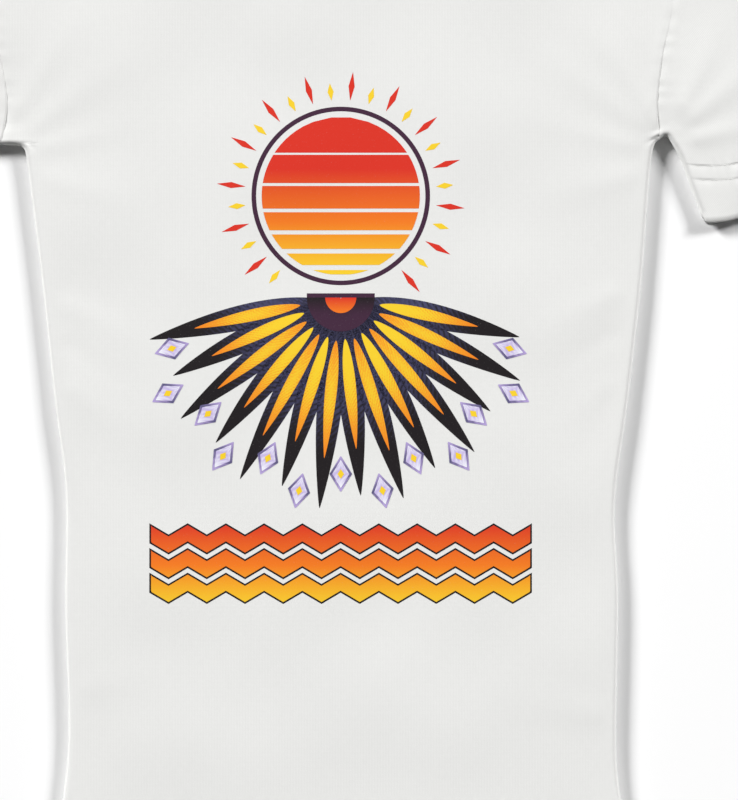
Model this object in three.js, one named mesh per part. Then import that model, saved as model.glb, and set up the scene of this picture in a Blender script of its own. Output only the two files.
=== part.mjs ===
// A short-sleeved crew-neck T-shirt, laid flat on its back with a little air left inside.
// Millimetres. X runs across the chest, Y from the hem to the neck, and Z up from the floor.
// Left and right are as seen from above, with the neck at the top.
// The plan is measured from the line between the armpits, and the shirt is then centred on its box.

import * as THREE from "three";

// Cloth
const CLOTH = 0.9; // one layer of cotton jersey
const TURNED = { over: 0.5, under: 0.3 }; // how far a turned hem stands out from the single cloth
const DOUBLED = { over: 0.6, under: 0.3 }; // the same for the doubled rib of the neckband
const GAP = 0.3; // clearance between pieces that touch
const SEAM_GAP = 0.45; // the same along the slanting edges of an armhole seam
const FOLD_GAP = 1.4; // and at the folded corners of the neckband
const SEAM_WALL = 2; // cloth at the folded edge of a tube

// The air inside
const LOFT = 7.4; // how far the air lifts the front from the back
const EDGE_REACH = 14; // from a closed edge to where the front lies level
const EDGE_ROUND = 2.2; // how full the rise is, from 1 for a straight slope

// Neck
const NECK_HALF = 88; // half the width of the neckline at the shoulder seams
const NECK_Y = 218; // height of the shoulder seams' inner ends above the armpit line
const FRONT_DROP = 85; // depth of the front neckline
const BACK_DROP = 20; // depth of the back neckline
const BAND = 20; // width of the neckband
const BAND_LEAN = 14; // how far the band leans in at each side
const BAND_RISE = 18; // how far its folded ends rise above the shoulder seams
const TAPE_HALF = 76; // half the length of the tape behind the neck
const TAPE_WIDTH = 11;
const TAPE_THICK = 0.6;

// Hems
const HEM_Y = -493; // lower edge of the body
const HEM_DEPTH = 22;
const CUFF_DEPTH = 30;

// The two sides of the plan, each from the shoulder down
const RIGHT = {
  side: 1,
  shoulder: [238, 166],
  fold: [[322, 101], [395.5, 24]], // upper edge of the sleeve
  armhole: [[236, 98], [229, 60], [225, 26]],
  pit: [227.2, 0.7],
  crotch: [[230.8, 2.6], [234, 0.4]], // cloth that turns over at the armpit
  underarm: [[242.1, -14.2], [249.5, -34], [257.2, -54.2]],
  cuff: [[260.3, -57.6], [267, -57.9], [285, -54.3], [324, -38.3], [364.3, -9.6]], // opening
  seamPull: [335, -52], // control point of the seam above it
  body: [[221, -14], [214, -100], [204.5, -185], [195.2, -258], [197.5, -327], [196, -430]],
  band: [199.7, HEM_Y + HEM_DEPTH],
  hem: [204.5, HEM_Y],
};
const LEFT = {
  side: -1,
  shoulder: [-246, 164],
  fold: [[-338, 114], [-427.7, 54.8]],
  armhole: [[-243, 80], [-236, 28]],
  pit: [-240.5, -3.4],
  crotch: [[-250, -3.4], [-264, -7]],
  underarm: [[-277, -17], [-289, -31], [-298.8, -43.4]],
  cuff: [[-302.6, -46.4], [-309, -43.4], [-329, -32.6], [-369.4, -5.8], [-400, 21.9]],
  seamPull: [-375, -16],
  body: [[-226, -4.8], [-222.4, -14], [-211.6, -99], [-202.4, -185], [-194.6, -250], [-195, -330],
    [-192.6, -420]],
  band: [-197, HEM_Y + HEM_DEPTH],
  hem: [-201.5, HEM_Y],
};

// Steps of the grids. Pieces that are sewn together take the same steps along their seam.
const SHOULDER_STEPS = 6;
const NECK_STEPS = 18;
const SIDE_STEPS = 16;
const ARMHOLE_STEPS = 12;
const SLEEVE_STEPS = 10; // from the armhole out
const HEM_STEPS = 3; // across a hem or band
const BODY_ACROSS = NECK_STEPS + 2 * SHOULDER_STEPS;
const BODY_ALONG = SIDE_STEPS + ARMHOLE_STEPS;
const EDGE_SAMPLES = 50; // on each closed edge, for measuring distances to it

const jersey = new THREE.MeshStandardMaterial({ color: 0xe9e9e7, roughness: 0.9, metalness: 0 });
const rib = new THREE.MeshStandardMaterial({ color: 0xe6e6e4, roughness: 0.92, metalness: 0 });
const tape = new THREE.MeshStandardMaterial({ color: 0xe2e2df, roughness: 0.85, metalness: 0 });

const shirt = new THREE.Group();

// Plan curves

const point = ([x, y]) => new THREE.Vector2(x, y);

function spline(points) {
  return new THREE.SplineCurve(points.map(point));
}

// The stretch of a curve between two shares of its length, as an edge from 0 to 1.
function stretch(curve, from = 0, to = 1) {
  return (t) => curve.getPointAt(from + (to - from) * t);
}

// Edges joined end to end, each taking its share of the steps.
function joined(edges, steps) {
  const total = steps.reduce((sum, n) => sum + n, 0);
  return (t) => {
    let done = 0;
    for (let k = 0; k < edges.length; k++) {
      const end = (done + steps[k]) / total;
      if (t <= end || k === edges.length - 1) {
        return edges[k](THREE.MathUtils.clamp((t * total - done) / steps[k], 0, 1));
      }
      done += steps[k];
    }
  };
}

function steps(edge, count) {
  return Array.from({ length: count + 1 }, (_, k) => edge(k / count));
}

// An edge whose two ends are moved to new places, and the rest in proportion.
function movedEnds(edge, first, last) {
  const atFirst = new THREE.Vector2().subVectors(first, edge(0));
  const atLast = new THREE.Vector2().subVectors(last, edge(1));
  return (t) => edge(t).clone().addScaledVector(atFirst, 1 - t).addScaledVector(atLast, t);
}

// A Coons patch: the two ruled surfaces between opposite edges, less the surface of the corners.
function patch({ bottom, top, left, right }) {
  const corners = [bottom(0), bottom(1), top(0), top(1)];
  return (u, v) => {
    const at = new THREE.Vector2();
    at.addScaledVector(bottom(u), 1 - v).addScaledVector(top(u), v);
    at.addScaledVector(left(v), 1 - u).addScaledVector(right(v), u);
    at.addScaledVector(corners[0], -(1 - u) * (1 - v)).addScaledVector(corners[1], -u * (1 - v));
    at.addScaledVector(corners[2], -(1 - u) * v).addScaledVector(corners[3], -u * v);
    return at;
  };
}

// The curves of one side of the shirt.
function sideCurves(s) {
  const neck = [s.side * NECK_HALF, NECK_Y];
  const bandTip = [s.side * (NECK_HALF - BAND_LEAN), NECK_Y + BAND_RISE];
  return {
    ...s,
    neck,
    bandTip,
    shoulderSeam: spline([neck, s.shoulder]),
    foldLine: spline([s.shoulder, ...s.fold]),
    armholeLine: spline([s.pit, ...[...s.armhole].reverse(), s.shoulder]),
    underarmLine: spline([s.pit, ...s.crotch, ...s.underarm]),
    bodyLine: spline([s.band, ...[...s.body].reverse(), s.pit]),
    hemLine: spline([s.hem, s.band]),
    cuffLine: spline([s.underarm.at(-1), ...s.cuff, s.fold.at(-1)]),
    cuffSeam: new THREE.QuadraticBezierCurve(
      point(s.underarm.at(-1)), point(s.seamPull), point(s.fold.at(-1))),
  };
}

const sides = { right: sideCurves(RIGHT), left: sideCurves(LEFT) };

// The height of the front

// The edges where front and back meet, as strings of points.
const closedEdges = Object.values(sides).flatMap((s) => [
  [point(s.bandTip), ...s.shoulderSeam.getSpacedPoints(EDGE_SAMPLES),
    ...s.foldLine.getSpacedPoints(EDGE_SAMPLES)],
  [...s.hemLine.getSpacedPoints(2), ...s.bodyLine.getSpacedPoints(EDGE_SAMPLES),
    ...s.underarmLine.getSpacedPoints(EDGE_SAMPLES)],
]);

function distanceToSegment(p, a, b) {
  const along = new THREE.Vector2().subVectors(b, a);
  const share = new THREE.Vector2().subVectors(p, a).dot(along) / Math.max(along.lengthSq(), 1e-9);
  return p.distanceTo(a.clone().addScaledVector(along, THREE.MathUtils.clamp(share, 0, 1)));
}

function distanceToEdges(p) {
  let nearest = Infinity;
  for (const line of closedEdges) {
    for (let i = 1; i < line.length; i++) {
      nearest = Math.min(nearest, distanceToSegment(p, line[i - 1], line[i]));
    }
  }
  return nearest;
}

// The underside of the front's cloth: on the back at a closed edge, and lifted by the air inside.
function frontUnder(p) {
  const share = Math.min(distanceToEdges(p) / EDGE_REACH, 1);
  return CLOTH + GAP + LOFT * (1 - (1 - share) ** EDGE_ROUND);
}

// Solids

function meshFrom(name, positions, indices, material) {
  const geometry = new THREE.BufferGeometry();
  geometry.setAttribute("position", new THREE.Float32BufferAttribute(positions, 3));
  geometry.setIndex(indices);
  geometry.computeVertexNormals();
  const mesh = new THREE.Mesh(geometry, material);
  mesh.name = name;
  shirt.add(mesh);
}

// One layer over a plan, closed by a wall round its four edges.
function layer(name, plan, across, along, material) {
  const positions = [];
  const indices = [];
  const count = (across + 1) * (along + 1);
  const points = [];
  for (let j = 0; j <= along; j++) {
    for (let i = 0; i <= across; i++) {
      points.push(plan(i / across, j / along));
    }
  }
  const under = points.map(frontUnder);
  for (const lift of [CLOTH, 0]) {
    points.forEach((p, k) => positions.push(p.x, p.y, under[k] + lift));
  }
  const at = (i, j) => j * (across + 1) + i;
  for (let j = 0; j < along; j++) {
    for (let i = 0; i < across; i++) {
      const [a, b, c, d] = [at(i, j), at(i + 1, j), at(i + 1, j + 1), at(i, j + 1)];
      indices.push(a, b, c, a, c, d);
      indices.push(count + a, count + c, count + b, count + a, count + d, count + c);
    }
  }
  const rim = [];
  for (let i = 0; i < across; i++) rim.push(at(i, 0));
  for (let j = 0; j < along; j++) rim.push(at(across, j));
  for (let i = across; i > 0; i--) rim.push(at(i, along));
  for (let j = along; j > 0; j--) rim.push(at(0, j));
  rim.forEach((a, k) => {
    const b = rim[(k + 1) % rim.length];
    indices.push(a, count + a, count + b, a, count + b, b);
  });
  meshFrom(name, positions, indices, material);
}

// A flattened tube: front and back layers joined along both sides, and open at both ends.
// Each ring of points runs across the front one way and across the back the other.
function tube(name, plans, across, along, thicker, material) {
  const { front, back = plans.front } = plans;
  const { over = 0, under = 0 } = thicker;
  const ring = 2 * (across + 1);
  const positions = [];
  const indices = [];
  for (const outer of [true, false]) {
    for (let j = 0; j <= along; j++) {
      const v = j / along;
      const width = front(0, v).distanceTo(front(1, v));
      const inset = outer ? 0 : SEAM_WALL / width;
      for (let i = 0; i <= across; i++) {
        const p = front(THREE.MathUtils.lerp(inset, 1 - inset, i / across), v);
        positions.push(p.x, p.y, frontUnder(p) + (outer ? CLOTH + over : -under));
      }
      for (let i = across; i >= 0; i--) {
        const p = back(THREE.MathUtils.lerp(inset, 1 - inset, i / across), v);
        positions.push(p.x, p.y, outer ? 0 : CLOTH + over + under);
      }
    }
  }
  const count = ring * (along + 1);
  for (let j = 0; j < along; j++) {
    for (let k = 0; k < ring; k++) {
      const [a, b] = [j * ring + k, j * ring + (k + 1) % ring];
      const [c, d] = [b + ring, a + ring];
      indices.push(a, b, c, a, c, d);
      indices.push(count + a, count + c, count + b, count + a, count + d, count + c);
    }
  }
  for (let k = 0; k < ring; k++) {
    const next = (k + 1) % ring;
    indices.push(k, count + k, count + next, k, count + next, next);
    const [a, b] = [along * ring + k, along * ring + next];
    indices.push(a, count + b, count + a, a, b, count + b);
  }
  meshFrom(name, positions, indices, material);
}

// A flat piece of one thickness, from an outline that runs anticlockwise.
function flat(name, outline, thick, z, material) {
  const geometry = new THREE.ExtrudeGeometry(new THREE.Shape(outline), {
    depth: thick,
    bevelEnabled: false,
  });
  geometry.translate(0, 0, z);
  const mesh = new THREE.Mesh(geometry, material);
  mesh.name = name;
  shirt.add(mesh);
}

// The pieces of the shirt

// The neckline's lower edges, with the clearance of the band taken off on its own side.
function frontNeckline(clear = 0) {
  const curve = new THREE.EllipseCurve(
    0, NECK_Y + clear, NECK_HALF - clear, FRONT_DROP - clear, Math.PI, 2 * Math.PI);
  return stretch(curve);
}

function backNeckline(clear = 0) {
  const y = NECK_Y + clear;
  const curve = new THREE.QuadraticBezierCurve(
    point([clear - NECK_HALF, y]), point([0, y - 2 * BACK_DROP]), point([NECK_HALF - clear, y]));
  return stretch(curve);
}

function bodyTop(neckline) {
  const edges = [
    stretch(sides.left.shoulderSeam, 1, 0),
    neckline,
    stretch(sides.right.shoulderSeam),
  ];
  return joined(edges, [SHOULDER_STEPS, NECK_STEPS, SHOULDER_STEPS]);
}

function bodyEdge(s) {
  const edges = [stretch(s.bodyLine), stretch(s.armholeLine)];
  return joined(edges, [SIDE_STEPS, ARMHOLE_STEPS]);
}

function makeBodyFront() {
  const plan = patch({
    bottom: stretch(spline([sides.left.band, sides.right.band])),
    top: bodyTop(frontNeckline()),
    left: bodyEdge(sides.left),
    right: bodyEdge(sides.right),
  });
  layer("body_front", plan, BODY_ACROSS, BODY_ALONG, jersey);
}

function makeBodyBack() {
  const round = [
    ...steps(bodyEdge(sides.right), BODY_ALONG),
    ...steps(bodyTop(backNeckline()), BODY_ACROSS).reverse().slice(1),
    ...steps(bodyEdge(sides.left), BODY_ALONG).reverse().slice(1),
  ];
  flat("body_back", round, CLOTH, 0, jersey);
}

// A sleeve and its turned hem, from the armhole out.
// The steps across run so that each plan turns anticlockwise, as seen from above.
function makeSleeve(name, s) {
  const share = (length) => (line) => length(line) / line.getLength();
  const [start, end] = [share(() => SEAM_GAP), share((line) => line.getLength())];
  const sewn = share((line) => line.getLength() - CUFF_DEPTH);
  const turned = share((line) => line.getLength() - CUFF_DEPTH + GAP);
  const plan = (from, to, bottom, top) => {
    const underarm = stretch(s.underarmLine, from(s.underarmLine), to(s.underarmLine));
    const fold = stretch(s.foldLine, from(s.foldLine), to(s.foldLine));
    const flip = (edge) => (t) => edge(1 - t);
    return s.side > 0
      ? patch({ bottom: flip(bottom), top: flip(top), left: fold, right: underarm })
      : patch({ bottom, top, left: underarm, right: fold });
  };
  const armhole = movedEnds(
    stretch(s.armholeLine), s.underarmLine.getPointAt(start(s.underarmLine)),
    s.foldLine.getPointAt(start(s.foldLine)));
  const opening = stretch(s.cuffLine);
  const across = (at) => movedEnds(
    stretch(s.cuffSeam),
    s.underarmLine.getPointAt(at(s.underarmLine)), s.foldLine.getPointAt(at(s.foldLine)));
  tube("sleeve_" + name, { front: plan(start, sewn, armhole, across(sewn)) },
    ARMHOLE_STEPS, SLEEVE_STEPS, {}, jersey);
  tube("cuff_" + name, { front: plan(turned, end, across(turned), opening) },
    ARMHOLE_STEPS, HEM_STEPS, TURNED, jersey);
}

function makeHem() {
  const clear = GAP / HEM_DEPTH;
  const plan = patch({
    bottom: stretch(spline([sides.left.hem, sides.right.hem])),
    top: stretch(spline([sides.left.hemLine.getPointAt(1 - clear).toArray(),
      sides.right.hemLine.getPointAt(1 - clear).toArray()])),
    left: stretch(sides.left.hemLine, 0, 1 - clear),
    right: stretch(sides.right.hemLine, 0, 1 - clear),
  });
  tube("hem", { front: plan }, BODY_ACROSS, HEM_STEPS, TURNED, jersey);
}

// The neckband is a short tube round the neck, folded flat at the two shoulder seams.
function makeNeckband() {
  const { left, right } = sides;
  const fold = (s) => stretch(spline([
    [s.neck[0] - s.side * GAP, NECK_Y + FOLD_GAP],
    s.bandTip,
  ]));
  const [tipX, tipY] = right.bandTip;
  const frontEdge = new THREE.EllipseCurve(
    0, tipY, tipX, tipY - (NECK_Y - FRONT_DROP + BAND), Math.PI, 2 * Math.PI);
  const backEdge = new THREE.QuadraticBezierCurve(
    point(left.bandTip), point([0, tipY - 2 * (tipY - (NECK_Y - BACK_DROP + BAND))]),
    point(right.bandTip));
  const plan = (bottom, curve) => patch({
    bottom: movedEnds(bottom, fold(left)(0), fold(right)(0)),
    top: stretch(curve),
    left: fold(left),
    right: fold(right),
  });
  const plans = { front: plan(frontNeckline(GAP), frontEdge), back: plan(backNeckline(GAP), backEdge) };
  tube("neckband", plans, NECK_STEPS, HEM_STEPS, DOUBLED, rib);
}

// The tape lies on the inside of the back, along the seam of the neckband.
function makeNeckTape() {
  const seam = backNeckline();
  const side = (drop) => {
    const end = (1 - TAPE_HALF / NECK_HALF) / 2;
    const at = (t) => seam(THREE.MathUtils.lerp(end, 1 - end, t)).sub(point([0, drop]));
    return steps(at, NECK_STEPS);
  };
  const outline = [...side(GAP + TAPE_WIDTH), ...side(GAP).reverse()];
  flat("neck_tape", outline, TAPE_THICK, CLOTH + GAP, tape);
}

makeBodyFront();
makeBodyBack();
makeSleeve("left", sides.left);
makeSleeve("right", sides.right);
makeHem();
makeNeckband();
makeNeckTape();

// The origin is at the middle of the shirt's own box, on the floor.
const box = new THREE.Box3().setFromObject(shirt);
const middle = box.getCenter(new THREE.Vector3());
shirt.position.set(-middle.x, -middle.y, -box.min.z);

export default shirt;
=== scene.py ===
import math

import bpy
import numpy as np
from bpy.props import FloatProperty, FloatVectorProperty, PointerProperty
from bpy.types import Operator, Panel, PropertyGroup
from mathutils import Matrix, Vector


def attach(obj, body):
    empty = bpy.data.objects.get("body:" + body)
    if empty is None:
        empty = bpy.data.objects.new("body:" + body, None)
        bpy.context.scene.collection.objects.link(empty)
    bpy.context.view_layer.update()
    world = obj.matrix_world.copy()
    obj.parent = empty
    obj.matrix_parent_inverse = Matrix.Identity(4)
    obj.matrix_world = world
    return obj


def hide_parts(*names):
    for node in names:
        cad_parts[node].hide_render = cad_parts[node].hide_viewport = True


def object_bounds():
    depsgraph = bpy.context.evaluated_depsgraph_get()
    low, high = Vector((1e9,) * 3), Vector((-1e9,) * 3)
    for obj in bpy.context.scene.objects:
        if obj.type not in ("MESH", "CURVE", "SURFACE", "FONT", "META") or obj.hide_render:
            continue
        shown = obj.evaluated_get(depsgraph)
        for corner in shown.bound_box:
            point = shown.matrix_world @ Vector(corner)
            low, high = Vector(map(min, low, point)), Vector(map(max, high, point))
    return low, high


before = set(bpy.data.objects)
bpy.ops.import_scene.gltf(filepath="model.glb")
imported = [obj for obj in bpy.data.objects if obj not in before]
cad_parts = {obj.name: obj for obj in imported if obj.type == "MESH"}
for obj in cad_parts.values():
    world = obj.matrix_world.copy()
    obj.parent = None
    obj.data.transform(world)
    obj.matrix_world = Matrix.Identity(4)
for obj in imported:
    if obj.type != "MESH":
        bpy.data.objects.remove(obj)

bl_info = {
    "name": "Laid T-shirt",
    "version": (1, 0, 0),
    "blender": (4, 5, 0),
    "location": "3D View > Sidebar > T-shirt",
    "description": "Makes a short-sleeved crew-neck T-shirt, laid flat, with its seams, hems and chest print",
    "category": "Object",
}

CAD_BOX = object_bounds()
MM = 0.001

# The plan of the shirt, in millimetres from the middle of the line between the armpits.
# X runs across the chest and Y from the hem to the neck. Each side runs from the shoulder down.
NECK_HALF = 88.0
NECK_Y = 218.0
FRONT_DROP = 85.0
BACK_DROP = 20.0
BAND = 20.0
BAND_LEAN = 14.0
BAND_RISE = 18.0
HEM_Y = -493.0
RIGHT = {
    "side": 1,
    "shoulder": (238, 166),
    "fold": [(322, 101), (395.5, 24)],
    "armhole": [(236, 98), (229, 60), (225, 26)],
    "pit": (227.2, 0.7),
    "crotch": [(230.8, 2.6), (234, 0.4)],
    "underarm": [(242.1, -14.2), (249.5, -34), (257.2, -54.2)],
    "cuff": [(260.3, -57.6), (267, -57.9), (285, -54.3), (324, -38.3), (364.3, -9.6)],
    "seam_pull": (344, -61),
    "body": [(221, -14), (214, -100), (204.5, -185), (195.2, -258), (197.5, -327), (196, -430)],
    "band": (199.7, HEM_Y + 22),
    "hem": (204.5, HEM_Y),
}
LEFT = {
    "side": -1,
    "shoulder": (-246, 164),
    "fold": [(-338, 114), (-427.7, 54.8)],
    "armhole": [(-243, 80), (-236, 28)],
    "pit": (-240.5, -3.4),
    "crotch": [(-250, -3.4), (-264, -7)],
    "underarm": [(-277, -17), (-289, -31), (-298.8, -43.4)],
    "cuff": [(-302.6, -46.4), (-309, -43.4), (-329, -32.6), (-369.4, -5.8), (-400, 21.9)],
    "seam_pull": (-375, -16),
    "body": [(-226, -4.8), (-222.4, -14), (-220.5, -27.5), (-211.6, -99), (-202.4, -185),
             (-194.6, -250), (-195, -330), (-192.6, -420)],
    "band": (-197, HEM_Y + 22),
    "hem": (-201.5, HEM_Y),
}
# From the plan's own place to the frame's, whose origin is at the middle of the shirt's box.
SHIFT = np.array([
    CAD_BOX[0].x / MM - LEFT["fold"][-1][0],
    CAD_BOX[0].y / MM - HEM_Y,
])

# Heights of the cloth's outer face above the floor, in millimetres
BACK_Z = 0.2
EDGE_Z = 4.3  # where front and back meet along a closed edge
EDGE_REACH = 4.0  # from a closed edge to where the front lies level
EDGE_ROUND = 2.2  # how full that rise is, from 1 for a straight slope
UNDER_REACH = 5.0  # from a closed edge to where the back lies on the floor
SIDE_SHARE = 0.72  # of the steps up the body, how many lie below the armpit
SHOULDER_SHARE = 0.26  # of the steps across it, how many lie on each shoulder seam
# How far in from a round edge the rows of its faces lie
EDGE_STEPS = np.array([0, 0.05, 0.18, 0.4, 0.75, 1.3, 2.0, 2.9, 4.0, 5.4, 7.4, 10, 13.5, 18])
# About how far the grids of faces reach, for spacing their rows and columns
BODY_WIDE, NECK_ROUND, BODY_SIDE, ARMHOLE_SIDE = 400.0, 270.0, 480.0, 168.0
SLEEVE_WIDE, SLEEVE_LONG = 165.0, 110.0
BODY_ROWS = 176  # up the body, before those that are added beside the stitches and armpits
PIT_CORNER = 16.5  # below the armpits, where the left side turns its corner
STITCH = 2.7  # length of one stitch
STITCH_GAP = 0.45  # between two stitches
HEM_ROWS = (20.5, 14.5)  # the rows of stitches, from the edge of the hem
CUFF_ROWS = (39.4, 28.5)  # and from the edge of a sleeve's hem
NECK_ROW = 2.6  # and out from the seam of the neckband


# Curves of the plan

def curve_through(points):
    """Points along the smooth curve through a few points: on each span a cubic whose slope at each
    end is half the step between that end's two neighbours."""
    p = np.asarray(points, float)
    padded = np.vstack([p[:1], p, p[-1:]])
    t = np.linspace(0, 1, 40, endpoint=False)[:, None]
    spans = []
    for before, a, b, after in zip(padded, padded[1:], padded[2:], padded[3:]):
        slope_a, slope_b = (b - before) / 2, (after - a) / 2
        cubic = 2 * a - 2 * b + slope_a + slope_b
        square = -3 * a + 3 * b - 2 * slope_a - slope_b
        spans.append(((cubic * t + square) * t + slope_a) * t + a)
    return np.vstack(spans + [p[-1:]])


def bent(a, pull, b):
    """Points along the quadratic curve from a to b, drawn towards pull."""
    t = np.linspace(0, 1, 160)[:, None]
    a, pull, b = (np.asarray(p, float) for p in (a, pull, b))
    return (1 - t) ** 2 * a + 2 * t * (1 - t) * pull + t * t * b


def half_ellipse(x_radius, y_radius, y):
    """The lower half of an ellipse about (0, y), from left to right."""
    a = np.linspace(math.pi, 2 * math.pi, 240)
    return np.stack([x_radius * np.cos(a), y + y_radius * np.sin(a)], 1)


def reaches(line):
    """The length of a line up to each of its points."""
    return np.concatenate([[0], np.cumsum(np.linalg.norm(np.diff(line, axis=0), axis=1))])


def length_of(line):
    """The whole length of a line."""
    return float(reaches(line)[-1])


def walk(line, start=0.0, end=1.0):
    """A function from shares to points spaced evenly by length along a stretch of a line."""
    reach = reaches(line)
    reach /= reach[-1]

    def at(t):
        s = start + (end - start) * np.asarray(t, float)
        return np.stack([np.interp(s, reach, line[:, k]) for k in range(line.shape[1])], -1)
    return at


def joined(walks, shares):
    """Walks joined end to end, each over its share of the parameter."""
    marks = np.concatenate([[0], np.cumsum(shares)])

    def at(t):
        t = np.asarray(t, float)
        out = walks[-1](np.clip((t - marks[-2]) / shares[-1], 0, 1))
        for k in range(len(walks) - 2, -1, -1):
            part = walks[k](np.clip((t - marks[k]) / shares[k], 0, 1))
            out = np.where((t <= marks[k + 1])[..., None], part, out)
        return out
    return at


def moved_ends(at, first, last):
    """A walk whose two ends are moved to new places, and the rest in proportion."""
    by_first, by_last = first - at(0.0), last - at(1.0)
    return lambda t: at(t) + np.outer(1 - np.asarray(t), by_first) + np.outer(t, by_last)


def patch(bottom, top, left, right, hold=1.0):
    """The plan between four walks: the surface of its corners, plus how far each walk strays from
    the straight line between its own corners, which fades by a power to nothing at the walk
    opposite. Rows run along v and columns along u."""
    def strays(at, t):
        return at(t) - np.outer(1 - t, at(0.0)) - np.outer(t, at(1.0))

    def plan(u, v):
        uu, vv = u[None, :, None], v[:, None, None]
        corners = (1 - vv) * ((1 - uu) * bottom(0.0) + uu * bottom(1.0))
        corners = corners + vv * ((1 - uu) * top(0.0) + uu * top(1.0))
        rows = (1 - vv) ** hold * strays(bottom, u)[None] + vv ** hold * strays(top, u)[None]
        columns = (1 - uu) ** hold * strays(left, v)[:, None] + uu ** hold * strays(right, v)[:, None]
        return corners + rows + columns
    return plan


def side_lines(s):
    """The lines of one side of the shirt. The tip is where the neckband's free edge turns."""
    side = s["side"]
    return {
        "side": side,
        "tip": np.array([side * (NECK_HALF - BAND_LEAN), NECK_Y + BAND_RISE]),
        "shoulder": curve_through([(side * NECK_HALF, NECK_Y), s["shoulder"]]),
        "fold": curve_through([s["shoulder"], *s["fold"]]),
        "armhole": curve_through([s["pit"], *s["armhole"][::-1], s["shoulder"]]),
        "underarm": curve_through([s["pit"], *s["crotch"], *s["underarm"]]),
        "body": curve_through([s["band"], *s["body"][::-1], s["pit"]]),
        "hem": curve_through([s["hem"], s["band"]]),
        "cuff": curve_through([s["underarm"][-1], *s["cuff"], s["fold"][-1]]),
        "cuff_seam": bent(s["underarm"][-1], s["seam_pull"], s["fold"][-1]),
    }


RIGHT_LINES, LEFT_LINES = side_lines(RIGHT), side_lines(LEFT)


def segments(lines, spacing=5.0):
    """The start and end points of short straight pieces along some lines."""
    starts, ends = [], []
    for line in lines:
        p = walk(line)(np.linspace(0, 1, max(2, int(length_of(line) / spacing))))
        starts.append(p[:-1])
        ends.append(p[1:])
    return np.vstack(starts), np.vstack(ends)


FOLDED = [
    line for s in (RIGHT_LINES, LEFT_LINES)
    for line in (np.vstack([s["tip"], s["shoulder"]]), s["fold"], s["hem"], s["body"], s["underarm"])
]
# The closed edges' own points are kept, so that a mesh's rim lies exactly on them.
CLOSED_EDGES = np.vstack([p[:-1] for p in FOLDED]), np.vstack([p[1:] for p in FOLDED])
ROUGH_EDGES = segments(FOLDED, 8.0)
ARMHOLES = segments([RIGHT_LINES["armhole"], LEFT_LINES["armhole"]], 3.0)
CUFFS = segments([RIGHT_LINES["cuff"], LEFT_LINES["cuff"]])
NECKLINE = half_ellipse(NECK_HALF, FRONT_DROP, NECK_Y)
BACK_NECKLINE = bent((-NECK_HALF, NECK_Y), (0, NECK_Y - 2 * BACK_DROP), (NECK_HALF, NECK_Y))
BAND_EDGE = half_ellipse(
    NECK_HALF - BAND_LEAN, FRONT_DROP - BAND + BAND_RISE, NECK_Y + BAND_RISE)
BACK_BAND_EDGE = bent(
    (BAND_LEAN - NECK_HALF, NECK_Y + BAND_RISE),
    (0, NECK_Y + BAND_RISE - 2 * (BAND_RISE + BACK_DROP - BAND)),
    (NECK_HALF - BAND_LEAN, NECK_Y + BAND_RISE))


def cuff_row(s, depth):
    """The line across a sleeve at a depth from its opening."""
    at = moved_ends(
        walk(s["cuff_seam"]),
        walk(s["underarm"])(1 - depth / length_of(s["underarm"])),
        walk(s["fold"])(1 - depth / length_of(s["fold"])))
    return at(np.linspace(0, 1, 120))


def hem_row(depth):
    """The line across the body at a height above the edge of its hem."""
    left, right = (walk(s["hem"])(depth / 22) for s in (LEFT_LINES, RIGHT_LINES))
    return np.array([left, right])


STITCH_ROWS = [hem_row(d) for d in HEM_ROWS]
STITCH_ROWS += [cuff_row(s, d) for s in (RIGHT_LINES, LEFT_LINES) for d in CUFF_ROWS]
SEWN = segments(STITCH_ROWS, 4.0)


def offset(xy, pieces, block=4000):
    """The step to each point from the nearest place on some straight pieces."""
    a, b = pieces
    along = b - a
    squared = np.maximum((along ** 2).sum(1), 1e-9)
    flat = xy.reshape(-1, 2)
    out = np.empty_like(flat)
    for k in range(0, len(flat), block):
        to = flat[k:k + block, None] - a[None]
        share = np.clip((to * along).sum(2) / squared, 0, 1)
        to = to - share[..., None] * along
        nearest = (to ** 2).sum(2).argmin(1)
        out[k:k + block] = to[np.arange(len(nearest)), nearest]
    return out.reshape(xy.shape)


def distance(xy, pieces):
    """The distance from each point to the nearest of some straight pieces."""
    return np.linalg.norm(offset(xy, pieces), axis=-1)


def edge_distance(xy):
    """The distance to the closed edges: rough far from them, and fine within 15 mm."""
    d = distance(xy, ROUGH_EDGES)
    near = d < 15
    d[near] = distance(xy[near], CLOSED_EDGES)
    return d


# Heights of the cloth

def smooth(t):
    """A rise from 0 to 1 that starts and ends level: three squares less two cubes."""
    t = np.clip(t, 0, 1)
    return t * t * (3 - 2 * t)


def ridge(xy, start, angle, length, width, height, bend=0.0):
    """A soft fold that starts at a point and runs along an angle: a bell curve across it, times a
    rise over its first tenth and a fall to nothing at its end. It bends by a parabola."""
    a = math.radians(angle)
    to = xy - np.array(start, float)
    along = to[..., 0] * math.cos(a) + to[..., 1] * math.sin(a)
    t = along / length
    across = -to[..., 0] * math.sin(a) + to[..., 1] * math.cos(a) - bend * t ** 2 * length
    window = smooth(t / 0.12) * smooth(1 - t) * ((t > 0) & (t < 1))
    return height * np.exp(-(across / (width * (0.6 + 0.8 * np.clip(t, 0, 1)))) ** 2) * window


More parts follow.
